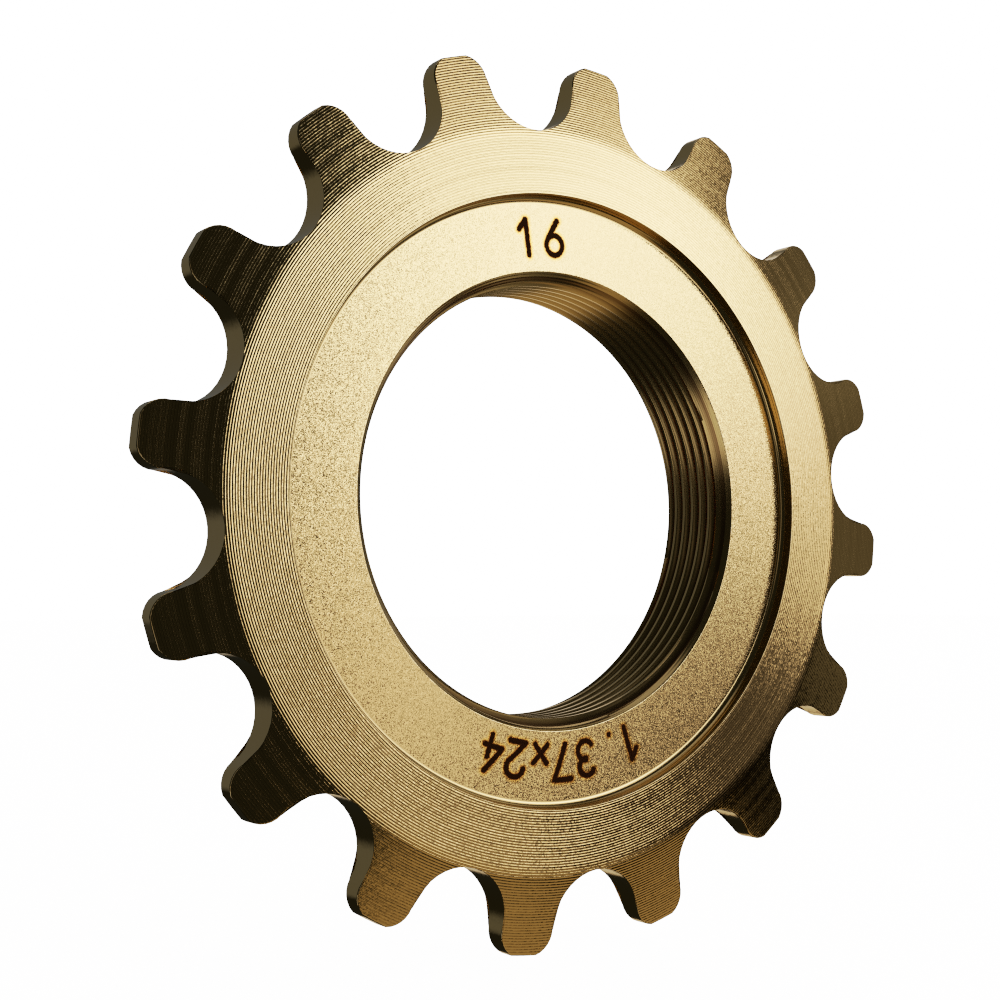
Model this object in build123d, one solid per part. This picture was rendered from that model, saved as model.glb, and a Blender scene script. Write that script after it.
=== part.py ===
from build123d import *
import math
import os

# Threaded track sprocket, one turned and milled steel piece.
# The axis of rotation is Y. The outboard side, which takes the lockring, faces -Y,
# and the inboard side, which screws on to the hub, faces +Y. Lengths are in mm.

# Chain and teeth
tooth_count = 16
chain_pitch = 12.7
roller_seat_radius = 4.06
tip_height = 1.89          # tip circle above the pitch circle
tip_arc_radius = 1.85      # rounding of each tooth's two shoulders
tip_arc_drop = 1.76        # centre of that rounding below the tip circle
tooth_phase = -5.9         # degrees from +X towards +Z to the centre line of the first tooth

# Toothed ring
tooth_width = 3.0
tip_bevel = 0.80           # set-back of each side of a tooth at its tip
bevel_inset = 0.15         # the bevel starts this far inside the root circle
bevel_blend_radius = 7.0   # rounding between the flat side and the bevel

# Recess for the lockring, in the outboard side
recess_ring_width = 4.95   # flat ring left between the recess and the root circle
recess_depth = 1.05
recess_fillet = 0.48

# Hub thread, 1.37 inch by 24 threads to the inch, and the boss round it
thread_major_diameter = 34.80
threads_per_inch = 24
inch = 25.4
thread_height_ratio = 0.5413   # depth of an internal 60 degree thread over its pitch
lead_in_clearance = 0.34       # outboard rim of the bore over the major radius
boss_wall = 4.1                # boss outside the major radius
boss_fillet = 1.5
boss_chamfer = 0.5
bore_back_chamfer = 0.45
overall_length = 8.6

blank_margin = 1.0         # turned blank beyond the tip circle before the teeth are cut

pitch_angle = 360 / tooth_count
pitch_radius = chain_pitch / (2 * math.sin(math.radians(pitch_angle / 2)))
root_radius = pitch_radius - roller_seat_radius
tip_radius = pitch_radius + tip_height
bevel_start_radius = root_radius - bevel_inset
recess_radius = root_radius - recess_ring_width
thread_pitch = inch / threads_per_inch
major_radius = thread_major_diameter / 2
bore_radius = major_radius - thread_height_ratio * thread_pitch
rim_radius = major_radius + lead_in_clearance
boss_radius = major_radius + boss_wall
outboard_y = -overall_length / 2
inboard_y = overall_length / 2
recess_floor_y = outboard_y + recess_depth
ring_back_y = outboard_y + tooth_width


def polar(radius, degrees):
    """Point at a radius and an angle from the local X axis."""
    angle = math.radians(degrees)
    return Vector(radius * math.cos(angle), radius * math.sin(angle))


def tooth_edges():
    """One tooth on the local X axis and the roller seat that follows it, as tangent arcs."""
    half_angle = pitch_angle / 2
    seat = polar(pitch_radius, half_angle)
    rise = tip_radius - tip_arc_drop - seat.X
    reach = roller_seat_radius + tip_arc_radius
    shoulder = Vector(seat.X + rise, seat.Y - math.sqrt(reach**2 - rise**2))
    contact = seat + (shoulder - seat) * (roller_seat_radius / reach)

    # where the shoulder's arc meets the tip circle
    distance = shoulder.length
    cosine = (tip_radius**2 + distance**2 - tip_arc_radius**2) / (2 * tip_radius * distance)
    corner_angle = math.degrees(math.atan2(shoulder.Y, shoulder.X) + math.acos(cosine))
    corner = polar(tip_radius, corner_angle)
    towards_middle = ((contact + corner) * 0.5 - shoulder).normalized()
    shoulder_middle = shoulder + towards_middle * tip_arc_radius

    def mirrored(point):
        return Vector(point.X, -point.Y)

    seat_end = polar(contact.length, pitch_angle - math.degrees(math.atan2(contact.Y, contact.X)))
    return [
        ThreePointArc(mirrored(contact), mirrored(shoulder_middle), mirrored(corner)),
        ThreePointArc(mirrored(corner), Vector(tip_radius, 0), corner),
        ThreePointArc(corner, shoulder_middle, contact),
        ThreePointArc(contact, polar(root_radius, half_angle), seat_end),
    ]


def toothed_prism():
    """The outline of all the teeth, drawn facing -Y and run through the whole length."""
    edges = []
    for index in range(tooth_count):
        turn = Rot(0, 0, tooth_phase + index * pitch_angle)
        edges += [turn * edge for edge in tooth_edges()]
    outline = Plane.XZ * make_face(edges)
    return extrude(outline, amount=overall_length, both=True)


def turned_blank():
    """The turned body, before the teeth are cut: its half section spun about Y."""
    blank_radius = tip_radius + blank_margin
    bevel_slope = tip_bevel / (tip_radius - bevel_start_radius)
    blank_bevel = bevel_slope * (blank_radius - bevel_start_radius)
    front_blend = (bevel_start_radius, outboard_y)
    back_blend = (bevel_start_radius, ring_back_y)
    recess_corner = (recess_radius, recess_floor_y)
    boss_corner = (boss_radius, ring_back_y)
    boss_edge = (boss_radius, inboard_y)
    section = make_face(Polyline(
        (rim_radius, recess_floor_y),
        recess_corner,
        (recess_radius, outboard_y),
        front_blend,
        (blank_radius, outboard_y + blank_bevel),
        (blank_radius, ring_back_y - blank_bevel),
        back_blend,
        boss_corner,
        boss_edge,
        (bore_radius + bore_back_chamfer, inboard_y),
        (bore_radius, inboard_y - bore_back_chamfer),
        (bore_radius, recess_floor_y + rim_radius - bore_radius),
        close=True,
    ))

    def at(face, point):
        return face.vertices().sort_by_distance(point)[0]

    section = fillet([at(section, front_blend), at(section, back_blend)], bevel_blend_radius)
    section = fillet(at(section, recess_corner), recess_fillet)
    section = fillet(at(section, boss_corner), boss_fillet)
    section = chamfer(at(section, boss_edge), boss_chamfer)
    return revolve(section, Axis.Y)


def sprocket():
    return turned_blank() & toothed_prism()


os.makedirs("parts", exist_ok=True)
export_step(sprocket(), "parts/sprocket.step")
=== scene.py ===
import math
import bpy
from mathutils import Matrix, Vector


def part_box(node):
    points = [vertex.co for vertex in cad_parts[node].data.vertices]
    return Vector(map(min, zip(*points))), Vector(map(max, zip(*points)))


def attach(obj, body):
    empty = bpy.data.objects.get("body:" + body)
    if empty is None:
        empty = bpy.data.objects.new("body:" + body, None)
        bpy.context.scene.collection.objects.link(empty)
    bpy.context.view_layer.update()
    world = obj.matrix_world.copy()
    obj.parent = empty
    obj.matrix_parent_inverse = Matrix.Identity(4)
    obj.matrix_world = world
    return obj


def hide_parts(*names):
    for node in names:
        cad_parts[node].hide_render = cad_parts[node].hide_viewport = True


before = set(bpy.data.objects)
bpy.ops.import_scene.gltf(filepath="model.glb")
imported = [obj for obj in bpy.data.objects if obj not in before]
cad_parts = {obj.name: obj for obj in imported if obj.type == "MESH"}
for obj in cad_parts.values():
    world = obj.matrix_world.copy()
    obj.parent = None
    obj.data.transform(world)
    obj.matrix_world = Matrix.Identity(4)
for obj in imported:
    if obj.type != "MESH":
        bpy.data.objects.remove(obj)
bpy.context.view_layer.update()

boxLow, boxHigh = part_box("sprocket")
mm = 0.001
inch = 25.4 * mm

# What a user would change on the sprocket, in millimetres and degrees.
# The axis is Y, the outboard side faces -Y, and the origin is on the axis, halfway along it.
sprocketSizes = {
    "toothCount": 16,
    "chainPitch": 12.7,
    "rollerSeatRadius": 4.06,
    "tipHeight": 1.89,        # tip circle above the pitch circle
    "shoulderRadius": 1.85,   # rounding of a tooth's two shoulders
    "shoulderDrop": 1.76,     # centre of that rounding below the tip circle
    "toothPhase": -5.9,       # from +X towards +Z to the first tooth
    "toothWidth": 3.0,
    "tipBevel": 0.80,
    "bevelInset": 0.15,
    "bevelBlendRadius": 7.0,
    "recessRingWidth": 4.95,
    "recessDepth": 1.05,
    "recessFillet": 0.48,
    "bossWall": 4.1,
    "bossFillet": 1.5,
    "bossChamfer": 0.5,
    "edgeBreak": 0.07,        # the deburred edges
    "flatHold": 0.05,         # past a rounding, the shading is flat again from here
}
threadSizes = {
    "majorDiameter": 34.80,
    "perInch": 24,
    "heightRatio": 0.5413,    # depth of the 60 degree thread over its pitch
    "leadIn": 0.34,           # outboard rim of the bore over the major radius
    "backChamfer": 0.45,
    "crestFlat": 0.25,        # share of the pitch
    "rootFlat": 0.125,
    "crestBreak": 0.03,
    "grooveDepthAtX": 2.45,   # a groove's place behind the outboard face on the +X side
}
meshSteps = {
    "land": 2,                # round half a tooth: its tip, a shoulder and half a roller seat
    "shoulder": 6,
    "seat": 9,
    "edge": 3,                # round each corner of the section
    "fillet": 6,
    "chamfer": 2,
    "blend": (0.0, 0.3, 0.6, 1.0),              # rows through the first half of the bevel's blend
    "bevel": (0.035, 0.075, 0.11, 0.5, 0.9),    # rows from the bevel's start to the tooth outline
}
sharpAngle = 32               # degrees between faces, past which an edge is shaded sharp
weldDistance = 0.002 * mm

number, whole, vector, colour = "NodeSocketFloat", "NodeSocketInt", "NodeSocketVector", "NodeSocketColor"


def placed(tree, kind, **settings):
    # a new node, set out in rows so that the tree can be read in the editor
    node = tree.nodes.new(kind)
    count = len(tree.nodes)
    node.location = (220 * (count % 12), -260 * (count // 12))
    for name, value in settings.items():
        setattr(node, name, value)
    return node


def feed(tree, socket, value):
    # a link where the value is another node's socket, a plain setting where it isn't
    if isinstance(value, bpy.types.NodeSocket):
        tree.links.new(value, socket)
    elif value is not None:
        socket.default_value = value


def filled(tree, kind, inputs, **settings):
    # a new node with its inputs given by name or by number
    node = placed(tree, kind, **settings)
    for name, value in inputs.items():
        feed(tree, node.inputs[name], value)
    return node.outputs


def maths(tree, operation, *values):
    return filled(tree, "ShaderNodeMath", dict(enumerate(values)), operation=operation)[0]


def plus(tree, first, second):
    return maths(tree, "ADD", first, second)


def minus(tree, first, second):
    return maths(tree, "SUBTRACT", first, second)


def times(tree, first, second):
    return maths(tree, "MULTIPLY", first, second)


def over(tree, first, second):
    return maths(tree, "DIVIDE", first, second)


def clamped(tree, value, low, high):
    return maths(tree, "MINIMUM", maths(tree, "MAXIMUM", value, low), high)


def vectorMaths(tree, operation, *values):
    outputs = filled(tree, "ShaderNodeVectorMath", dict(enumerate(values)), operation=operation)
    return outputs["Value" if operation in {"LENGTH", "DOT_PRODUCT"} else "Vector"]


def scaled(tree, direction, factor):
    return filled(tree, "ShaderNodeVectorMath", {0: direction, "Scale": factor}, operation="SCALE")["Vector"]


def joinXYZ(tree, x, y, z):
    return filled(tree, "ShaderNodeCombineXYZ", {"X": x, "Y": y, "Z": z})[0]


def splitXYZ(tree, place):
    return filled(tree, "ShaderNodeSeparateXYZ", {0: place})


def polarXY(tree, radius, angle):
    return times(tree, radius, maths(tree, "COSINE", angle)), times(tree, radius, maths(tree, "SINE", angle))


def mixed(tree, dataType, factor, first, second):
    # a Mix node for numbers, vectors or colours
    node = placed(tree, "ShaderNodeMix", data_type=dataType)
    wanted = {"FLOAT": "VALUE", "VECTOR": "VECTOR", "RGBA": "RGBA"}[dataType]
    live = [socket for socket in node.inputs if socket.enabled]
    for name, value in (("Factor", factor), ("A", first), ("B", second)):
        feed(tree, next(socket for socket in live if socket.name == name), value)
    return next(socket for socket in node.outputs if socket.enabled and socket.type == wanted)


def remap(tree, value, low, high, toLow=0.0, toHigh=1.0):
    inputs = {"Value": value, "From Min": low, "From Max": high, "To Min": toLow, "To Max": toHigh}
    return filled(tree, "ShaderNodeMapRange", inputs, interpolation_type="SMOOTHSTEP")["Result"]


def startGroup(kind, name, inputs, outputs):
    # a node group with named sockets: (name, kind of socket, default)
    tree = bpy.data.node_groups.new(name, kind)
    for socketName, socketKind, default in inputs:
        socket = tree.interface.new_socket(socketName, in_out="INPUT", socket_type=socketKind)
        if default is not None:
            socket.default_value = default
    for socketName, socketKind in outputs:
        tree.interface.new_socket(socketName, in_out="OUTPUT", socket_type=socketKind)
    return tree, placed(tree, "NodeGroupInput").outputs, placed(tree, "NodeGroupOutput").inputs


def useGroup(tree, group, **values):
    # values are given by the socket's name without its spaces
    node = placed(tree, "ShaderNodeGroup", node_tree=group)
    for socket in node.inputs:
        feed(tree, socket, values.get(socket.name.replace(" ", "")))
    return node.outputs


def polar(radius, angle):
    return Vector((radius * math.cos(angle), radius * math.sin(angle)))


def toothOutline(sizes):
    # one half tooth, in metres, with the tooth's centre line along local X
    halfAngle = math.pi / sizes["toothCount"]
    pitchRadius = sizes["chainPitch"] * mm / (2 * math.sin(halfAngle))
    seatRadius = sizes["rollerSeatRadius"] * mm
    shoulderRadius = sizes["shoulderRadius"] * mm
    tipRadius = pitchRadius + sizes["tipHeight"] * mm
    seat = polar(pitchRadius, halfAngle)
    rise = tipRadius - sizes["shoulderDrop"] * mm - seat.x
    reach = seatRadius + shoulderRadius
    shoulder = Vector((seat.x + rise, seat.y - math.sqrt(reach**2 - rise**2)))
    distance = shoulder.length
    cosine = (tipRadius**2 + distance**2 - shoulderRadius**2) / (2 * tipRadius * distance)
    cornerAngle = math.atan2(shoulder.y, shoulder.x) + math.acos(cosine)
    corner = polar(tipRadius, cornerAngle) - shoulder
    contact = seat - shoulder
    return {
        "Half Angle": halfAngle,
        "Tip Radius": tipRadius,
        "Corner Angle": cornerAngle,
        "Shoulder Centre": shoulder.to_3d(),
        "Shoulder Radius": shoulderRadius,
        "Shoulder Start": math.atan2(corner.y, corner.x),
        "Shoulder End": math.atan2(contact.y, contact.x),
        "Seat Centre": seat.to_3d(),
        "Seat Radius": seatRadius,
        "Seat Start": math.atan2(-contact.y, -contact.x) + 2 * math.pi,
        "Seat End": math.pi + halfAngle,
        "Root Radius": pitchRadius - seatRadius,
    }


outline = toothOutline(sprocketSizes)
rootRadius = outline["Root Radius"]
tipRadius = outline["Tip Radius"]
bevelStart = rootRadius - sprocketSizes["bevelInset"] * mm
bevelSlope = sprocketSizes["tipBevel"] * mm / (tipRadius - bevelStart)
blendReach = sprocketSizes["bevelBlendRadius"] * mm * math.tan(math.atan(bevelSlope) / 2)
blendLow, blendHigh = bevelStart - blendReach, bevelStart + blendReach
recessRadius = rootRadius - sprocketSizes["recessRingWidth"] * mm
outboardY = boxLow.y
inboardY = boxHigh.y
floorY = outboardY + sprocketSizes["recessDepth"] * mm
ringBackY = outboardY + sprocketSizes["toothWidth"] * mm
threadPitch = inch / threadSizes["perInch"]
majorRadius = threadSizes["majorDiameter"] * mm / 2
boreRadius = majorRadius - threadSizes["heightRatio"] * threadPitch
rimRadius = majorRadius + threadSizes["leadIn"] * mm
bossRadius = majorRadius + sprocketSizes["bossWall"] * mm
endRadius = boreRadius + threadSizes["backChamfer"] * mm
edgeBreak = sprocketSizes["edgeBreak"] * mm
flatHold = sprocketSizes["flatHold"] * mm

zones = ("turnedFace", "blastedFloor", "recessWall", "toothFlank", "hubBoss", "hubThread")


def sideDrop(radius):
    # how far a side of the ring has dropped back at a radius, through the blend and down the bevel
    intoBlend = max(min(radius, blendHigh) - blendLow, 0.0)
    return intoBlend**2 / (4 * blendReach) * bevelSlope + bevelSlope * max(radius - blendHigh, 0.0)


def roundedCorner(before, corner, after, radius, steps):
    # the arc that rounds a corner between two straight stretches, with a point just before and
    # just past it that keeps the shading of the straight stretches flat
    before, corner, after = Vector(before), Vector(corner), Vector(after)
    towardsBefore = (before - corner).normalized()
    towardsAfter = (after - corner).normalized()
    half = towardsBefore.angle(towardsAfter) / 2
    centre = corner + (towardsBefore + towardsAfter).normalized() * radius / math.sin(half)
    tangent = radius / math.tan(half)
    start = corner + towardsBefore * tangent - centre
    end = corner + towardsAfter * tangent - centre
    turn = start.angle_signed(end)
    arc = [centre + Matrix.Rotation(-turn * step / steps, 2) @ start for step in range(steps + 1)]
    held = tangent + flatHold
    return [corner + towardsBefore * held, *arc, corner + towardsAfter * held]


def sectionRows(sizes):
    # the half section as rows: radius, y, reach towards the tooth outline, inset from the outline,
    # side (0 outboard, 1 inboard), drop below that side, edge wear, and the zone that follows the row
    rows = []
    edge, fillet, chamfered = meshSteps["edge"], meshSteps["fillet"], meshSteps["chamfer"]

    def turned(points, zone, wear=0.0):
        for point in points:
            atEnd = point in (points[0], points[-1])
            rows.append((point[0], point[1], 0.0, 0.0, 0.0, 0.0, 0.0 if atEnd else wear, zone))

    def toothed(reach, inset, side, drop, zone, wear=0.0):
        rows.append((tipRadius - inset, outboardY, reach, inset, side, drop, wear, zone))

    # a small round where a side of the ring meets the tooth's flank: inset, drop and wear
    edgeRound = [(edgeBreak + flatHold, 0.0, 0.0)]
    for step in range(edge + 1):
        angle = math.pi / 2 * step / edge
        edgeRound.append((edgeBreak * (1 - math.sin(angle)), edgeBreak * (1 - math.cos(angle)), 1.0))
    edgeRound.append((0.0, edgeBreak + flatHold, 0.0))

    # from the bore's outboard cone over the recess and out to the bevel
    rim = (rimRadius, floorY)
    lip = (recessRadius, outboardY)
    nook = (recessRadius, floorY)
    coneEnd = (boreRadius, floorY + rimRadius - boreRadius)
    blendRadii = [blendLow - flatHold] + [blendLow + blendReach * share for share in meshSteps["blend"]]
    turned(roundedCorner(coneEnd, rim, nook, edgeBreak, edge), "blastedFloor", 1.0)
    turned(roundedCorner(rim, nook, lip, sizes["recessFillet"] * mm, fillet), "recessWall")
    turned(roundedCorner(nook, lip, (blendLow, outboardY), edgeBreak, edge), "turnedFace", 1.0)
    turned([(radius, outboardY + sideDrop(radius)) for radius in blendRadii], "turnedFace")

    # over the teeth to the inboard side
    for reach in meshSteps["bevel"]:
        toothed(reach, 0.0, 0.0, 0.0, "turnedFace")
    for inset, drop, wear in edgeRound:
        toothed(1.0, inset, 0.0, drop, "toothFlank" if inset == 0 else "turnedFace", wear)
    toothed(1.0, 0.0, 0.5, 0.0, "toothFlank")
    for inset, drop, wear in reversed(edgeRound):
        toothed(1.0, inset, 1.0, drop, "toothFlank" if drop > edgeBreak else "turnedFace", wear)
    for reach in reversed(meshSteps["bevel"]):
        toothed(reach, 0.0, 1.0, 0.0, "turnedFace")
    turned([(radius, ringBackY - sideDrop(radius)) for radius in reversed(blendRadii)], "turnedFace")

    # up the boss and into the bore's inboard cone
    chamfer = sizes["bossChamfer"] * mm
    ringEdge = (blendLow, ringBackY)
    bossFoot = (bossRadius, ringBackY)
    bossTop = (bossRadius, inboardY)
    chamferLow = (bossRadius, inboardY - chamfer)
    chamferTop = (bossRadius - chamfer, inboardY)
    boreEnd = (endRadius, inboardY)
    crestEnd = (boreRadius, inboardY - endRadius + boreRadius)
    turned(roundedCorner(ringEdge, bossFoot, bossTop, sizes["bossFillet"] * mm, fillet), "hubBoss")
    turned(roundedCorner(bossFoot, chamferLow, chamferTop, edgeBreak, chamfered), "hubBoss", 1.0)
    turned(roundedCorner(chamferLow, chamferTop, boreEnd, edgeBreak, chamfered), "hubBoss", 1.0)
    turned(roundedCorner(chamferTop, boreEnd, crestEnd, edgeBreak / 2, edge), "hubBoss", 1.0)
    return rows


def threadProfile(sizes):
    # one pitch of the thread from the middle of a crest, as (radius, y)
    crest = sizes["crestFlat"] * threadPitch / 2
    root = sizes["rootFlat"] * threadPitch / 2
    trim = sizes["crestBreak"] * mm
    slope = (majorRadius - boreRadius) / (threadPitch / 2 - crest - root)
    half = [
        (boreRadius, 0.0),
        (boreRadius, crest - trim / 2),
        (boreRadius + trim * slope / 2, crest + trim / 2),
        (majorRadius, threadPitch / 2 - root),
    ]
    return half + [(radius, threadPitch - y) for radius, y in reversed(half)]


def wireMesh(name, points, **attributes):
    # points in the section plane, joined in order, with a value at each point
    mesh = bpy.data.meshes.new(name)
    edges = [(index, index + 1) for index in range(len(points) - 1)]
    mesh.from_pydata([(point[0], point[1], 0.0) for point in points], edges, [])
    for title, (kind, values) in attributes.items():
        layer = mesh.attributes.new(title, kind, "POINT")
        layer.data.foreach_set("value", values)
    item = bpy.data.objects.new(name, mesh)
    bpy.context.scene.collection.objects.link(item)
    return item


def sampledRow(tree, source, value, row, dataType):
    return filled(tree, "GeometryNodeSampleIndex", {"Geometry": source, "Value": value, "Index": row},
                  data_type=dataType, domain="POINT")["Value"]


def namedValue(tree, name, dataType="FLOAT"):
    return filled(tree, "GeometryNodeInputNamedAttribute", {"Name": name}, data_type=dataType)["Attribute"]


def pointCount(tree, geometry):
    return filled(tree, "GeometryNodeAttributeDomainSize", {0: geometry}, component="MESH")["Point Count"]


def gridOf(tree, columnCount, rowCount):
    # a grid with its column and row numbers, which are whole at the points and halfway on the faces
    lastColumn = minus(tree, columnCount, 1.0)
    lastRow = minus(tree, rowCount, 1.0)
    grid = filled(tree, "GeometryNodeMeshGrid", {"Size X": lastColumn, "Size Y": lastRow,
                                                 "Vertices X": columnCount, "Vertices Y": rowCount})
    place = splitXYZ(tree, placed(tree, "GeometryNodeInputPosition").outputs[0])
    column = plus(tree, place[0], times(tree, lastColumn, 0.5))
    row = plus(tree, place[1], times(tree, lastRow, 0.5))
    return grid["Mesh"], column, row


def stored(tree, geometry, name, dataType, domain, value):
    return filled(tree, "GeometryNodeStoreNamedAttribute",
                  {"Geometry": geometry, "Name": name, "Value": value},
                  data_type=dataType, domain=domain)["Geometry"]


def movedTo(tree, geometry, x, y, z):
    return filled(tree, "GeometryNodeSetPosition",
                  {"Geometry": geometry, "Position": joinXYZ(tree, x, y, z)})[0]


def arcPoint(tree, centre, radius, start, end, step, steps):
    fraction = over(tree, step, float(steps))
    angle = plus(tree, start, times(tree, minus(tree, end, start), fraction))
    return vectorMaths(tree, "ADD", centre, joinXYZ(tree, *polarXY(tree, radius, angle), 0.0))


def makeSprocketTree():
    inputs = [("Section", "NodeSocketGeometry", None), ("Thread Profile", "NodeSocketObject", None),
              ("Tooth Count", whole, 16), ("Tooth Phase", number, 0.0)]
    for name, value in outline.items():
        inputs.append((name, vector if isinstance(value, Vector) else number, None))
    for name in ("Bevel Start", "Bevel Slope", "Blend Reach", "Outboard Y", "Ring Back Y",
                 "Thread Pitch", "Thread Start", "Bore Front Y", "Bore Front Radius",
                 "Bore Back Y", "Bore Back Radius", "Weld Distance"):
        inputs.append((name, number, 0.0))
    for zone in zones:
        inputs.append((zone, "NodeSocketMaterial", None))
    tree, given, result = startGroup("GeometryNodeTree", "sprocketSweep", inputs,
                                     [("Geometry", "NodeSocketGeometry")])
    landSteps, shoulderSteps, seatSteps = meshSteps["land"], meshSteps["shoulder"], meshSteps["seat"]
    halfSteps = float(landSteps + shoulderSteps + seatSteps)
    stepAngle = over(tree, given["Half Angle"], halfSteps)

    # the body: one column of the grid for each step round, one row for each point of the section
    section = given["Section"]
    around = times(tree, given["Tooth Count"], 2 * halfSteps)
    grid, gridColumn, gridRow = gridOf(tree, plus(tree, around, 1.0), pointCount(tree, section))
    nearestRow = maths(tree, "ROUND", gridRow)
    place = placed(tree, "GeometryNodeInputPosition").outputs[0]
    sectionPoint = splitXYZ(tree, sampledRow(tree, section, place, nearestRow, "FLOAT_VECTOR"))
    row = {name: sampledRow(tree, section, namedValue(tree, name), nearestRow, "FLOAT")
           for name in ("reach", "inset", "side", "drop", "edgeWear")}
    faceRow = maths(tree, "FLOOR", gridRow)
    zone = sampledRow(tree, section, namedValue(tree, "zone", "INT"), faceRow, "INT")

    # place within the tooth, counted from its centre line and mirrored past the roller seat
    column = maths(tree, "ROUND", gridColumn)
    tooth = maths(tree, "FLOOR", over(tree, plus(tree, column, halfSteps), 2 * halfSteps))
    offset = minus(tree, column, times(tree, tooth, 2 * halfSteps))
    step = maths(tree, "ABSOLUTE", offset)
    mirror = minus(tree, times(tree, maths(tree, "LESS_THAN", -0.5, offset), 2.0), 1.0)
    pastLand = minus(tree, step, float(landSteps))
    pastShoulder = minus(tree, step, float(landSteps + shoulderSteps))

    land = arcPoint(tree, (0.0, 0.0, 0.0), minus(tree, given["Tip Radius"], row["inset"]),
                    0.0, given["Corner Angle"], step, landSteps)
    shoulder = arcPoint(tree, given["Shoulder Centre"], minus(tree, given["Shoulder Radius"], row["inset"]),
                        given["Shoulder Start"], given["Shoulder End"], pastLand, shoulderSteps)
    seat = arcPoint(tree, given["Seat Centre"], plus(tree, given["Seat Radius"], row["inset"]),
                    given["Seat Start"], given["Seat End"], pastShoulder, seatSteps)
    tipSide = mixed(tree, "VECTOR", maths(tree, "GREATER_THAN", pastLand, 0.5), land, shoulder)
    onSeat = maths(tree, "GREATER_THAN", pastShoulder, 0.5)
    edge = splitXYZ(tree, mixed(tree, "VECTOR", onSeat, tipSide, seat))
    onTeeth = maths(tree, "GREATER_THAN", row["reach"], 0.0)
    circleRadius = mixed(tree, "FLOAT", onTeeth, sectionPoint[0], given["Bevel Start"])
    circleX, circleZ = polarXY(tree, circleRadius, times(tree, step, stepAngle))
    localX = mixed(tree, "FLOAT", row["reach"], circleX, edge[0])
    localZ = times(tree, mixed(tree, "FLOAT", row["reach"], circleZ, edge[1]), mirror)

    # height of the two sides at this radius, through the blend and down the bevel
    radius = vectorMaths(tree, "LENGTH", joinXYZ(tree, localX, localZ, 0.0))
    low = minus(tree, given["Bevel Start"], given["Blend Reach"])
    high = plus(tree, given["Bevel Start"], given["Blend Reach"])
    intoBlend = maths(tree, "MAXIMUM", minus(tree, maths(tree, "MINIMUM", radius, high), low), 0.0)
    curved = over(tree, times(tree, maths(tree, "POWER", intoBlend, 2.0), given["Bevel Slope"]),
                  times(tree, given["Blend Reach"], 4.0))
    straight = times(tree, given["Bevel Slope"], maths(tree, "MAXIMUM", minus(tree, radius, high), 0.0))
    setBack = plus(tree, plus(tree, curved, straight), row["drop"])
    front = plus(tree, given["Outboard Y"], setBack)
    back = minus(tree, given["Ring Back Y"], setBack)
    bodyY = mixed(tree, "FLOAT", onTeeth, sectionPoint[1], mixed(tree, "FLOAT", row["side"], front, back))

    # round to this tooth's own place
    turn = plus(tree, given["Tooth Phase"], times(tree, tooth, times(tree, given["Half Angle"], 2.0)))
    alongX, alongZ = polarXY(tree, localX, turn)
    acrossX, acrossZ = polarXY(tree, localZ, turn)
    body = stored(tree, grid, "zone", "INT", "FACE", zone)
    body = stored(tree, body, "edgeWear", "FLOAT", "POINT", row["edgeWear"])
    body = movedTo(tree, body, minus(tree, alongX, acrossZ), bodyY, plus(tree, alongZ, acrossX))

    # the thread: a strip one pitch wide that climbs the bore, trimmed to the bore's two cones
    profile = filled(tree, "GeometryNodeObjectInfo", {"Object": given["Thread Profile"]},
                     transform_space="ORIGINAL")["Geometry"]
    boreLength = minus(tree, given["Bore Back Y"], given["Bore Front Y"])
    spareTurns = 2.5
    turns = plus(tree, over(tree, boreLength, given["Thread Pitch"]), spareTurns)
    stripColumns = maths(tree, "CEIL", times(tree, turns, around))
    strip, stripColumn, stripRow = gridOf(tree, stripColumns, pointCount(tree, profile))
    stripColumn = maths(tree, "ROUND", stripColumn)
    stripRow = maths(tree, "ROUND", stripRow)
    profilePoint = splitXYZ(tree, sampledRow(tree, profile, place, stripRow, "FLOAT_VECTOR"))
    climb = times(tree, over(tree, stripColumn, around), given["Thread Pitch"])
    freeY = plus(tree, plus(tree, given["Thread Start"], climb), profilePoint[1])
    threadY = clamped(tree, freeY, given["Bore Front Y"], given["Bore Back Y"])
    toBack = minus(tree, given["Bore Back Y"], threadY)
    fromFront = minus(tree, threadY, given["Bore Front Y"])
    runOut = plus(tree, given["Bore Back Radius"], toBack)
    frontCone = minus(tree, given["Bore Front Radius"], fromFront)
    backCone = minus(tree, given["Bore Back Radius"], toBack)
    threadRadius = maths(tree, "MAXIMUM", maths(tree, "MINIMUM", profilePoint[0], runOut),
                         maths(tree, "MAXIMUM", frontCone, backCone))
    # a right-hand thread climbs inboard as it turns clockwise, seen from outboard
    threadX, threadZ = polarXY(tree, threadRadius,
                               minus(tree, given["Tooth Phase"], times(tree, stripColumn, stepAngle)))
    strip = stored(tree, strip, "zone", "INT", "FACE", zones.index("hubThread"))
    strip = movedTo(tree, strip, threadX, threadY, threadZ)

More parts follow.
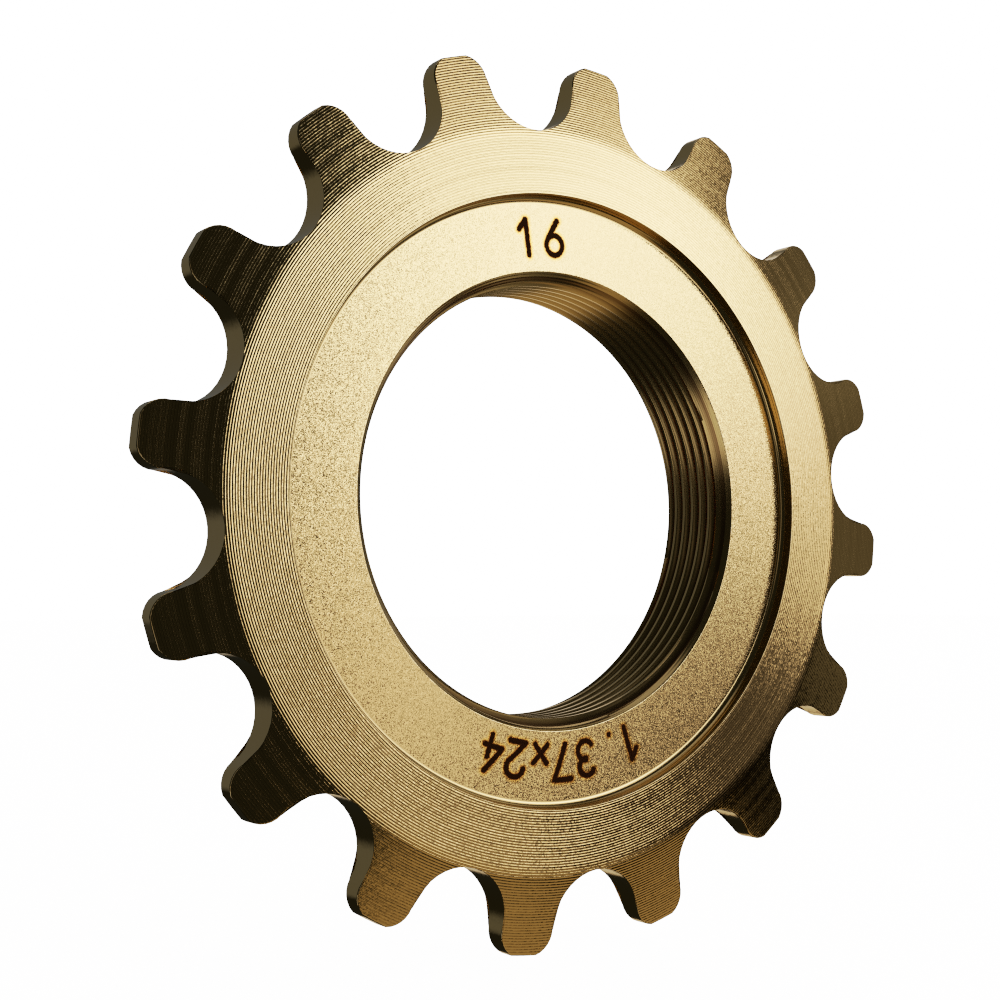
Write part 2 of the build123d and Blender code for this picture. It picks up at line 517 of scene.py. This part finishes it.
    # one closed skin, sharp only where the section turns a corner
    joined = placed(tree, "GeometryNodeJoinGeometry")
    tree.links.new(body, joined.inputs[0])
    tree.links.new(strip, joined.inputs[0])
    outwards = filled(tree, "GeometryNodeFlipFaces", {0: joined.outputs[0]})[0]
    welded = filled(tree, "GeometryNodeMergeByDistance",
                    {"Geometry": outwards, "Distance": given["Weld Distance"]})[0]
    between = placed(tree, "GeometryNodeInputMeshEdgeAngle").outputs["Unsigned Angle"]
    sharp = maths(tree, "GREATER_THAN", between, math.radians(sharpAngle))
    smooth = filled(tree, "GeometryNodeSetShadeSmooth", {"Geometry": welded}, domain="FACE")[0]
    creased = filled(tree, "GeometryNodeSetShadeSmooth",
                     {"Geometry": smooth, "Selection": sharp, "Shade Smooth": False}, domain="EDGE")[0]
    geometry = filled(tree, "GeometryNodeRealizeInstances", {0: creased})[0]
    for index, zoneName in enumerate(zones):
        inZone = filled(tree, "FunctionNodeCompare", {2: namedValue(tree, "zone", "INT"), 3: index},
                        data_type="INT", operation="EQUAL")[0]
        geometry = filled(tree, "GeometryNodeSetMaterial", {"Geometry": geometry, "Selection": inZone,
                                                            "Material": given[zoneName]})[0]
    feed(tree, result["Geometry"], geometry)
    return tree


def setInputs(modifier, tree, values):
    for item in tree.interface.items_tree:
        if item.item_type == "SOCKET" and item.in_out == "INPUT" and item.name in values:
            value = values[item.name]
            modifier[item.identifier] = tuple(value) if isinstance(value, Vector) else value


def makeSprocket(finishes):
    rows = sectionRows(sprocketSizes)
    first, last = rows[0], rows[-1]
    reaches, insets, sides, drops, wears, zoneNames = list(zip(*rows))[2:]
    section = wireMesh("sprocketSection", rows, reach=("FLOAT", reaches), inset=("FLOAT", insets),
                       side=("FLOAT", sides), drop=("FLOAT", drops), edgeWear=("FLOAT", wears),
                       zone=("INT", [zones.index(zone) for zone in zoneNames]))
    profile = wireMesh("threadProfile", threadProfile(threadSizes))
    # the strip starts over a turn before the bore, with a groove at the wanted place on the +X side
    grooveY = outboardY + threadSizes["grooveDepthAtX"] * mm
    phase = math.radians(sprocketSizes["toothPhase"])
    turnsBefore = 1.2
    start = grooveY - threadPitch / 2 + threadPitch * phase / (2 * math.pi)
    while start > first[1] - turnsBefore * threadPitch:
        start -= threadPitch
    tree = makeSprocketTree()
    modifier = section.modifiers.new("sweep", "NODES")
    modifier.node_group = tree
    setInputs(modifier, tree, {
        "Thread Profile": profile, "Tooth Count": sprocketSizes["toothCount"], "Tooth Phase": phase,
        "Bevel Start": bevelStart, "Bevel Slope": bevelSlope, "Blend Reach": blendReach,
        "Outboard Y": outboardY, "Ring Back Y": ringBackY,
        "Thread Pitch": threadPitch, "Thread Start": start,
        "Bore Front Y": first[1], "Bore Front Radius": first[0],
        "Bore Back Y": last[1], "Bore Back Radius": last[0],
        "Weld Distance": weldDistance, **outline, **finishes,
    })
    bpy.context.view_layer.update()
    evaluated = section.evaluated_get(bpy.context.evaluated_depsgraph_get())
    mesh = bpy.data.meshes.new_from_object(evaluated)
    mesh.name = "sprocketFinished"
    piece = bpy.data.objects.new("sprocketFinished", mesh)
    bpy.context.scene.collection.objects.link(piece)
    for helper in (section, profile):
        bpy.data.objects.remove(helper, do_unlink=True)
    if mesh.materials[0] is None:
        mesh.materials.pop(index=0)
    return piece


# effects that several finishes share

def objectPlace(tree):
    return placed(tree, "ShaderNodeTexCoord").outputs["Object"]


def noise(tree, scale, detail=2.0):
    inputs = {"Vector": objectPlace(tree), "Scale": scale, "Detail": detail}
    return filled(tree, "ShaderNodeTexNoise", inputs)["Fac"]


def worldDirection(tree, direction):
    return filled(tree, "ShaderNodeVectorTransform", {0: direction}, vector_type="VECTOR",
                  convert_from="OBJECT", convert_to="WORLD")[0]


def leant(tree, normal, lean):
    return vectorMaths(tree, "NORMALIZE", vectorMaths(tree, "ADD", normal, lean))


def makeTurnedPlace():
    # where a point lies on a turned piece: distance from the axis, angle round it, place along it
    tree, given, result = startGroup(
        "ShaderNodeTree", "turnedPlace", [],
        [("Radius", number), ("Angle", number), ("Axial", number), ("Outward", vector)])
    x, y, z = splitXYZ(tree, objectPlace(tree))
    flat = joinXYZ(tree, x, 0.0, z)
    feed(tree, result["Radius"], vectorMaths(tree, "LENGTH", flat))
    feed(tree, result["Angle"], maths(tree, "ARCTAN2", z, x))
    feed(tree, result["Axial"], y)
    feed(tree, result["Outward"], vectorMaths(tree, "NORMALIZE", flat))
    return tree


def makeToolGrooves():
    # the scalloped grooves that a lathe tool leaves along a coordinate, as a normal
    tree, given, result = startGroup(
        "ShaderNodeTree", "toolGrooves",
        [("Coordinate", number, 0.0), ("Direction", vector, None), ("Pitch", number, 0.0002),
         ("Slope", number, 0.2), ("Chatter", number, 0.1), ("Normal", vector, None)],
        [("Normal", vector), ("Cusp", number), ("Line", number)])
    wander = times(tree, minus(tree, noise(tree, 260.0), 0.5), given["Chatter"])
    turns = plus(tree, over(tree, given["Coordinate"], given["Pitch"]), wander)
    across = maths(tree, "FRACT", turns)
    line = filled(tree, "ShaderNodeTexWhiteNoise", {"W": maths(tree, "FLOOR", turns)},
                  noise_dimensions="1D")["Value"]
    # each groove is cut to a slightly different depth
    depth = plus(tree, 0.85, times(tree, 0.3, line))
    tilt = times(tree, maths(tree, "SINE", times(tree, across, 2 * math.pi)),
                 times(tree, given["Slope"], depth))
    lean = scaled(tree, worldDirection(tree, given["Direction"]), tilt)
    fromMiddle = maths(tree, "ABSOLUTE", minus(tree, across, 0.5))
    feed(tree, result["Normal"], leant(tree, given["Normal"], lean))
    feed(tree, result["Cusp"], remap(tree, fromMiddle, 0.34, 0.5))
    feed(tree, result["Line"], line)
    return tree


def makeBlastGrain():
    # tiny facets left by bead blasting, each leaning its own way
    tree, given, result = startGroup(
        "ShaderNodeTree", "blastGrain",
        [("Facet Size", number, 0.0001), ("Lean", number, 0.3), ("Normal", vector, None)],
        [("Normal", vector), ("Facet", number)])
    size = joinXYZ(tree, given["Facet Size"], given["Facet Size"], given["Facet Size"])
    place = vectorMaths(tree, "DIVIDE", objectPlace(tree), size)
    cell = filled(tree, "ShaderNodeTexVoronoi", {"Vector": place, "Scale": 1.0})["Color"]
    lean = scaled(tree, vectorMaths(tree, "SUBTRACT", cell, (0.5, 0.5, 0.5)), given["Lean"])
    feed(tree, result["Normal"], leant(tree, given["Normal"], lean))
    feed(tree, result["Facet"], splitXYZ(tree, cell)[0])
    return tree


def makeEdgeWear():
    # where handling has polished an edge
    tree, given, result = startGroup("ShaderNodeTree", "edgeWear", [("Amount", number, 1.0)],
                                     [("Worn", number)])
    edge = placed(tree, "ShaderNodeAttribute", attribute_name="edgeWear").outputs["Fac"]
    patchy = remap(tree, noise(tree, 900.0, 3.0), 0.35, 0.65)
    feed(tree, result["Worn"], times(tree, times(tree, edge, patchy), given["Amount"]))
    return tree


def makePlatingTone():
    # slow changes of tone in the plating, with fine brown specks
    tree, given, result = startGroup(
        "ShaderNodeTree", "platingTone",
        [("Base", colour, None), ("Stain", colour, None), ("Amount", number, 0.3)], [("Color", colour)])
    broad = remap(tree, noise(tree, 90.0, 4.0), 0.35, 0.75)
    fine = remap(tree, noise(tree, 7000.0), 0.45, 0.75)
    share = times(tree, plus(tree, broad, fine), times(tree, given["Amount"], 0.5))
    feed(tree, result["Color"], mixed(tree, "RGBA", share, given["Base"], given["Stain"]))
    return tree


def makeStraightStroke():
    tree, given, result = startGroup(
        "ShaderNodeTree", "straightStroke",
        [("Place", vector, None), ("Start", vector, None), ("End", vector, None)], [("Distance", number)])
    along = vectorMaths(tree, "SUBTRACT", given["End"], given["Start"])
    offset = vectorMaths(tree, "SUBTRACT", given["Place"], given["Start"])
    share = over(tree, vectorMaths(tree, "DOT_PRODUCT", offset, along),
                 vectorMaths(tree, "DOT_PRODUCT", along, along))
    nearest = scaled(tree, along, clamped(tree, share, 0.0, 1.0))
    away = vectorMaths(tree, "SUBTRACT", offset, nearest)
    feed(tree, result["Distance"], vectorMaths(tree, "LENGTH", away))
    return tree


def makeRoundStroke():
    # an arc, given by the direction of its middle and the angle to each side of it
    tree, given, result = startGroup(
        "ShaderNodeTree", "roundStroke",
        [("Place", vector, None), ("Centre", vector, None), ("Radius", number, 0.3),
         ("Middle", number, 0.0), ("Spread", number, 3.2)], [("Distance", number)])
    offset = splitXYZ(tree, vectorMaths(tree, "SUBTRACT", given["Place"], given["Centre"]))
    alongX, acrossX = polarXY(tree, offset[0], given["Middle"])
    alongY, acrossY = polarXY(tree, offset[1], given["Middle"])
    x = plus(tree, alongX, acrossY)
    y = maths(tree, "ABSOLUTE", minus(tree, alongY, acrossX))
    place = joinXYZ(tree, x, y, 0.0)
    arcEnd = joinXYZ(tree, *polarXY(tree, given["Radius"], given["Spread"]), 0.0)
    toArc = maths(tree, "ABSOLUTE", minus(tree, vectorMaths(tree, "LENGTH", place), given["Radius"]))
    toEnd = vectorMaths(tree, "LENGTH", vectorMaths(tree, "SUBTRACT", place, arcEnd))
    beyond = maths(tree, "GREATER_THAN", maths(tree, "ARCTAN2", y, x), given["Spread"])
    feed(tree, result["Distance"], mixed(tree, "FLOAT", beyond, toArc, toEnd))
    return tree


turnedPlace = makeTurnedPlace()
toolGrooves = makeToolGrooves()
blastGrain = makeBlastGrain()
edgeWear = makeEdgeWear()
platingTone = makePlatingTone()
straightStroke = makeStraightStroke()
roundStroke = makeRoundStroke()

# Figures one unit high. A straight stroke is its two ends. A round one is its centre, radius,
# the direction of its middle and the spread to each side of it, in degrees.
figures = {
    "1": [((0.12, 0.74), (0.36, 1.0)), ((0.36, 1.0), (0.36, 0.0))],
    "2": [(0.31, 0.70, 0.28, 75, 100), ((0.53, 0.55), (0.04, 0.0)), ((0.04, 0.0), (0.62, 0.0))],
    "3": [(0.30, 0.74, 0.25, 30, 120), (0.30, 0.27, 0.27, -30, 120)],
    "4": [((0.44, 1.0), (0.02, 0.30)), ((0.02, 0.30), (0.64, 0.30)), ((0.46, 0.62), (0.46, 0.0))],
    "6": [(0.33, 0.30, 0.28, 0, 180), ((0.07, 0.40), (0.42, 1.0))],
    "7": [((0.04, 1.0), (0.60, 1.0)), ((0.60, 1.0), (0.22, 0.0))],
    "x": [((0.06, 0.52), (0.52, 0.0)), ((0.06, 0.0), (0.52, 0.52))],
    ".": [((0.16, 0.02), (0.16, 0.03))],
}
figureBearing = 0.16          # from the start of a figure's space to the figure, over its height
markSizes = {
    # text, middle angle from +X towards +Z in degrees, radius of mid-height, height and advance in mm
    "toothCountMark": ("16", 95.0, 20.4, 2.75, 2.65),
    "threadMark": ("1.37x24", -88.7, 20.1, 2.7, 2.2),
}
burn = {
    # distance from the middle of a stroke, in mm, where each begins and where it is full
    "Core": (0.24, 0.17),
    "Scorch": (0.33, 0.20),
    "Halo": (0.56, 0.26),
}
burnRaggedness = 0.16         # mm


def markDistance(tree, radius, angle, text, middle, midRadius, height, advance):
    # distance in mm from the strokes of a mark that runs clockwise round the axis, tops outward
    away = maths(tree, "WRAP", minus(tree, math.radians(middle), angle), math.pi, -math.pi)
    along = times(tree, away, midRadius)
    rise = minus(tree, over(tree, radius, mm), midRadius)
    nearest = None
    for position, character in enumerate(text):
        start = (position - len(text) / 2) * advance + figureBearing * height
        place = joinXYZ(tree, over(tree, minus(tree, along, start), height),
                        plus(tree, over(tree, rise, height), 0.5), 0.0)
        for stroke in figures[character]:
            if len(stroke) == 2:
                (startX, startY), (endX, endY) = stroke
                distance = useGroup(tree, straightStroke, Place=place, Start=(startX, startY, 0.0),
                                    End=(endX, endY, 0.0))["Distance"]
            else:
                centreX, centreY, arcRadius, direction, spread = stroke
                distance = useGroup(tree, roundStroke, Place=place, Centre=(centreX, centreY, 0.0),
                                    Radius=arcRadius, Middle=math.radians(direction),
                                    Spread=math.radians(spread))["Distance"]
            nearest = distance if nearest is None else maths(tree, "MINIMUM", nearest, distance)
    return times(tree, nearest, height)


def makeBurntMarks():
    # laser-burnt figures: a dark core, a brown scorch round it and a straw-coloured halo
    tree, given, result = startGroup(
        "ShaderNodeTree", "burntMarks", [("Radius", number, 0.0), ("Angle", number, 0.0)],
        [(name, number) for name in burn])
    distances = [markDistance(tree, given["Radius"], given["Angle"], *mark) for mark in markSizes.values()]
    ragged = times(tree, minus(tree, noise(tree, 6000.0), 0.5), burnRaggedness)
    distance = plus(tree, maths(tree, "MINIMUM", *distances), ragged)
    for name, (begins, full) in burn.items():
        feed(tree, result[name], remap(tree, distance, begins, full))
    return tree


burntMarks = makeBurntMarks()

# the plating's colours, and what each finish adds to them
plating = {
    "gold": (0.80, 0.545, 0.225, 1.0),
    "stain": (0.52, 0.30, 0.11, 1.0),
    "polished": (0.93, 0.74, 0.42, 1.0),
    # dirt and painted shade for the creases between the turned grooves
    "grooveDirt": (0.20, 0.10, 0.035, 1.0),
    # a darker colour for the thread's roots
    "threadDirt": (0.30, 0.17, 0.07, 1.0),
    "halo": (0.85, 0.42, 0.06, 1.0),
    "scorch": (0.30, 0.09, 0.015, 1.0),
    "core": (0.035, 0.012, 0.005, 1.0),
    "wear": 0.7,
}
finishLooks = {
    # stain is the share of brown, pitch (mm), slope and chatter are the tool's grooves, and
    # facet (mm) and lean are the grain
    "turnedFace": {"stain": 0.3, "pitch": 0.20, "chatter": 0.25, "facet": 0.13, "lean": 0.035,
                   "fineSlope": 0.03, "coarseSlope": 0.125, "bevelEase": 0.4, "dirt": 0.6,
                   "roughness": 0.07, "roughnessSpread": 0.06},
    "blastedFloor": {"stain": 0.2, "facet": 0.065, "lean": 0.10, "speck": (0.32, 0.05), "halo": 0.75,
                     "roughness": 0.14, "burntRoughness": 0.6},
    "recessWall": {"stain": 0.4, "pitch": 0.22, "slope": 0.06, "chatter": 0.12, "roughness": 0.16},
    "toothFlank": {"stain": 0.25, "facet": 0.16, "lean": 0.03, "roughness": 0.12},
    "hubBoss": {"stain": 0.3, "pitch": 0.18, "slope": 0.10, "chatter": 0.25, "roughness": 0.26},
    "hubThread": {"stain": 0.5, "pitch": 0.21, "slope": 0.08, "chatter": 0.2, "roughness": 0.2},
}
axisDirection = (0.0, 1.0, 0.0)
coarseDirection = (-1.0, 0.0, -0.1)   # the side of the ring where the tool cut coarser


def grainOf(tree, look, normal):
    return useGroup(tree, blastGrain, FacetSize=look["facet"] * mm, Lean=look["lean"], Normal=normal)


def groovesOf(tree, look, along, direction, normal, slope=None):
    return useGroup(tree, toolGrooves, Coordinate=along, Direction=direction, Pitch=look["pitch"] * mm,
                    Slope=look["slope"] if slope is None else slope, Chatter=look["chatter"], Normal=normal)


def turnedFaceSurface(tree, look, tone, worn, place, normal):
    # the ring's two sides: feed grooves on the flat, shallower ones down the bevels and on worn edges
    onBevel = remap(tree, place["Radius"], blendLow, bevelStart + 4 * blendReach)
    coarseSide = vectorMaths(tree, "DOT_PRODUCT", place["Outward"], coarseDirection)
    slope = remap(tree, coarseSide, -0.7, 0.15, look["fineSlope"], look["coarseSlope"])
    slope = times(tree, slope, minus(tree, 1.0, times(tree, onBevel, look["bevelEase"])))
    slope = times(tree, slope, minus(tree, 1.0, worn))
    grain = grainOf(tree, look, normal)
    grooves = groovesOf(tree, look, place["Radius"], place["Outward"], grain["Normal"], slope)
    # the cusps between the grooves are darkened, partly dirt and partly painted shade in the creases
    dirt = times(tree, grooves["Cusp"], look["dirt"])
    rough = plus(tree, look["roughness"], times(tree, grooves["Line"], look["roughnessSpread"]))
    return {"Base Color": mixed(tree, "RGBA", dirt, tone, plating["grooveDirt"]),
            "Normal": grooves["Normal"], "Roughness": rough}


def blastedFloorSurface(tree, look, tone, worn, place, normal):
    grain = grainOf(tree, look, normal)
    marks = useGroup(tree, burntMarks, Radius=place["Radius"], Angle=place["Angle"])
    tone = mixed(tree, "RGBA", remap(tree, grain["Facet"], 0.0, 0.6, *look["speck"]), tone, plating["stain"])
    tone = mixed(tree, "RGBA", times(tree, marks["Halo"], look["halo"]), tone, plating["halo"])
    tone = mixed(tree, "RGBA", marks["Scorch"], tone, plating["scorch"])
    tone = mixed(tree, "RGBA", marks["Core"], tone, plating["core"])
    rough = mixed(tree, "FLOAT", marks["Core"], look["roughness"], look["burntRoughness"])
    return {"Base Color": tone, "Normal": grain["Normal"], "Roughness": rough}


def recessWallSurface(tree, look, tone, worn, place, normal):
    # counted along the section, so that the lines run round the fillet as well as the wall
    along = minus(tree, place["Radius"], place["Axial"])
    grooves = groovesOf(tree, look, along, axisDirection, normal)
    return {"Base Color": tone, "Normal": grooves["Normal"], "Roughness": look["roughness"]}


def toothFlankSurface(tree, look, tone, worn, place, normal):
    # the flanks are milled smooth, with a faint grain
    grain = grainOf(tree, look, normal)
    return {"Base Color": tone, "Normal": grain["Normal"], "Roughness": look["roughness"]}


def hubBossSurface(tree, look, tone, worn, place, normal):
    direction = vectorMaths(tree, "ADD", place["Outward"], axisDirection)
    grooves = groovesOf(tree, look, plus(tree, place["Axial"], place["Radius"]), direction, normal)
    return {"Base Color": tone, "Normal": grooves["Normal"], "Roughness": look["roughness"]}


def hubThreadSurface(tree, look, tone, worn, place, normal):
    grooves = groovesOf(tree, look, place["Axial"], axisDirection, normal)
    # the crests and the lead-in keep the plating's tone, the roots are darker
    keepsTone = remap(tree, place["Radius"], majorRadius - 0.1 * mm, boreRadius + 0.05 * mm)
    leadIn = remap(tree, place["Radius"], majorRadius, majorRadius + 0.02 * mm)
    keepsTone = maths(tree, "MAXIMUM", keepsTone, leadIn)
    return {"Base Color": mixed(tree, "RGBA", keepsTone, plating["threadDirt"], tone),
            "Normal": grooves["Normal"], "Roughness": look["roughness"]}


def makeFinish(name, surface):
    # a plated finish: the plating's tone with its worn edges, then what this surface adds
    material = bpy.data.materials.new(name)
    material.use_nodes = True
    tree = material.node_tree
    shader = tree.nodes["Principled BSDF"]
    shader.inputs["Metallic"].default_value = 1.0
    look = finishLooks[name]
    tone = useGroup(tree, platingTone, Base=plating["gold"], Stain=plating["stain"],
                    Amount=look["stain"])["Color"]
    worn = useGroup(tree, edgeWear, Amount=plating["wear"])["Worn"]
    tone = mixed(tree, "RGBA", worn, tone, plating["polished"])
    place = useGroup(tree, turnedPlace)
    normal = placed(tree, "ShaderNodeNewGeometry").outputs["Normal"]
    for socketName, value in surface(tree, look, tone, worn, place, normal).items():
        feed(tree, shader.inputs[socketName], value)
    return material


surfaces = (turnedFaceSurface, blastedFloorSurface, recessWallSurface, toothFlankSurface, hubBossSurface,
            hubThreadSurface)
finishes = {name: makeFinish(name, surface) for name, surface in zip(zones, surfaces)}
print("finishes: %d" % len(finishes))
sprocket = makeSprocket(finishes)
print("sprocket: %d faces" % len(sprocket.data.polygons))
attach(sprocket, "root")
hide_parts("sprocket")

# Soft boxes as the object sees them: azimuth from -Y towards +X and elevation of the middle,
# half width, half height and softness, all in degrees, then strength and colour.
softBoxes = {
    "key": (39, 12.5, 13, 21, 1.0, 1.6, (1.0, 0.89, 0.80)),
    "keyCore": (36, 14, 7.5, 8.5, 8, 4.0, (0.86, 0.98, 1.12)),
    "upperRight": (62, 30, 16, 16, 8, 0.28, (1.0, 0.95, 0.80)),
    "rightSide": (70, 0, 18, 50, 8, 0.095, (1.0, 0.92, 0.72)),
    "rightFar": (94, 12, 16, 53, 7, 0.45, (1.0, 0.93, 0.70)),
    "under": (38, -50, 17, 33, 3.5, 0.38, (1.0, 0.74, 0.38)),
    "behind": (190, 30, 40, 40, 6, 0.10, (0.92, 1.0, 1.0)),
    "backKey": (135, 32, 16, 20, 6, 0.9, (1.0, 0.95, 0.86)),
    "backLow": (135, -21, 22, 14, 4, 0.8, (1.0, 0.82, 0.55)),
    "frontLeft": (-16, -4, 10, 20, 5, 0.20, (1.0, 0.90, 0.75)),
    "leftLow": (-45, -26, 9, 12, 4, 1.0, (1.0, 0.95, 0.84)),
    "ceiling": (0, 80, 180, 16, 6, 0.4, (1.0, 0.97, 0.90)),
}
# black flags in front of the lights: the same angles, then how much they take away
flags = {
    "lowerRight": (40, -9, 3.7, 12.2, 1.5, 0.95),
    "lowerFar": (50, -10, 8, 8, 1.5, 0.95),
    "upperRight": (62, 31, 13.5, 17, 4, 0.70),
    "upperMiddle": (46, 39, 8, 9, 1.5, 0.80),
}
studio = {
    "dark": (0.012, 0.013, 0.010),       # what the metal mirrors between the lamps
    "backdrop": 4.0,                     # white as the camera sees it
    "floorSize": 3.0,                    # m
    "floorGlow": 3.7,
    "floorRoughness": 0.7,
    "floorSpecular": 0.1,
    "floorTone": 0.9,
}


def makeSoftBox():
    tree, given, result = startGroup(
        "ShaderNodeTree", "softBox",
        [("Azimuth", number, 0.0), ("Elevation", number, 0.0), ("Half Width", number, 0.3),
         ("Half Height", number, 0.3), ("Softness", number, 0.1)], [("Mask", number)])
    direction = vectorMaths(tree, "NORMALIZE", placed(tree, "ShaderNodeTexCoord").outputs["Generated"])
    x, y, z = splitXYZ(tree, direction)
    azimuth = maths(tree, "ARCTAN2", x, times(tree, y, -1.0))
    sideways = maths(tree, "WRAP", minus(tree, azimuth, given["Azimuth"]), math.pi, -math.pi)
    upwards = minus(tree, maths(tree, "ARCSINE", z), given["Elevation"])
    masks = []
    for away, half in ((sideways, given["Half Width"]), (upwards, given["Half Height"])):
        masks.append(remap(tree, maths(tree, "ABSOLUTE", away), plus(tree, half, given["Softness"]),
                           minus(tree, half, given["Softness"])))
    feed(tree, result["Mask"], times(tree, *masks))
    return tree


def makeStudio():
    softBox = makeSoftBox()
    world = bpy.data.worlds.new("studio")
    world.use_nodes = True
    tree = world.node_tree

    def maskOf(*angles):
        azimuth, elevation, halfWidth, halfHeight, softness = (math.radians(angle) for angle in angles)
        return useGroup(tree, softBox, Azimuth=azimuth, Elevation=elevation, HalfWidth=halfWidth,
                        HalfHeight=halfHeight, Softness=softness)["Mask"]

    light = studio["dark"]
    for *angles, strength, tint in softBoxes.values():
        glow = scaled(tree, tuple(strength * part for part in tint), maskOf(*angles))
        light = vectorMaths(tree, "ADD", light, glow)
    for *angles, share in flags.values():
        light = scaled(tree, light, minus(tree, 1.0, times(tree, maskOf(*angles), share)))
    seen = placed(tree, "ShaderNodeLightPath").outputs["Is Camera Ray"]
    backdrop = (studio["backdrop"],) * 3
    feed(tree, tree.nodes["Background"].inputs["Color"], mixed(tree, "VECTOR", seen, light, backdrop))
    bpy.context.scene.world = world


def makeFloor():
    # a pale floor that the sprocket stands on
    half = studio["floorSize"] / 2
    corners = [(x * half, y * half, boxLow.z) for x, y in ((-1, -1), (1, -1), (1, 1), (-1, 1))]
    mesh = bpy.data.meshes.new("studioFloor")
    mesh.from_pydata(corners, [], [(0, 1, 2, 3)])
    floor = bpy.data.objects.new("studioFloor", mesh)
    bpy.context.scene.collection.objects.link(floor)
    material = bpy.data.materials.new("paleFloor")
    material.use_nodes = True
    tree = material.node_tree
    shader = tree.nodes["Principled BSDF"]
    shader.inputs["Roughness"].default_value = studio["floorRoughness"]
    shader.inputs["Specular IOR Level"].default_value = studio["floorSpecular"]
    shader.inputs["Emission Strength"].default_value = 1.0
    seen = placed(tree, "ShaderNodeLightPath").outputs["Is Camera Ray"]
    speckle = remap(tree, noise(tree, 900.0, 3.0), 0.3, 0.7, 0.92, 1.0)
    feed(tree, shader.inputs["Base Color"], scaled(tree, (studio["floorTone"],) * 3, speckle))
    glow = mixed(tree, "VECTOR", seen, (0.0, 0.0, 0.0), (studio["floorGlow"],) * 3)
    feed(tree, shader.inputs["Emission Color"], glow)
    mesh.materials.append(material)
    # the metal mirrors the studio, not the floor
    floor.visible_glossy = False
    floor.visible_shadow = False


makeStudio()
makeFloor()
print("studio: %d soft boxes" % len(softBoxes))

cameraSetup = {
    "lens": 58.24,
    "sensorWidth": 36.0,
    "clipStart": 1.0,                          # mm
    "place": (-73.284, -104.449, -7.171),      # mm
    "heading": 33.808,                         # degrees from +Y towards +X
    "tilt": 3.291,                             # degrees upwards
}
# the camera's response, with a soft shoulder on the highlights: exposure and the value shown
response = ((0.1, 0.1), (0.24, 0.235), (0.5, 0.43), (1.24, 0.70), (2.0, 0.83))
whiteLevel = 4.0


def makeCamera():
    lens = bpy.data.cameras.new("camera")
    lens.lens = cameraSetup["lens"]
    lens.sensor_width = cameraSetup["sensorWidth"]
    lens.clip_start = cameraSetup["clipStart"] * mm
    camera = bpy.data.objects.new("camera", lens)
    camera.location = Vector(cameraSetup["place"]) * mm
    tilt = math.radians(90 + cameraSetup["tilt"])
    camera.rotation_euler = (tilt, 0.0, -math.radians(cameraSetup["heading"]))
    bpy.context.scene.collection.objects.link(camera)
    bpy.context.scene.camera = camera


def setResponse():
    scene = bpy.context.scene
    scene.cycles.use_denoising = False   # it would smear the grain and the tool marks
    scene.cycles.filter_width = 1.2
    view = scene.view_settings
    view.view_transform = "Standard"
    view.use_curve_mapping = True
    view.curve_mapping.white_level = (whiteLevel,) * 3
    for exposure, shown in response:
        view.curve_mapping.curves[3].points.new(exposure / whiteLevel, shown)
    view.curve_mapping.update()


makeCamera()
setResponse()
print("camera: %.1f mm lens" % cameraSetup["lens"])
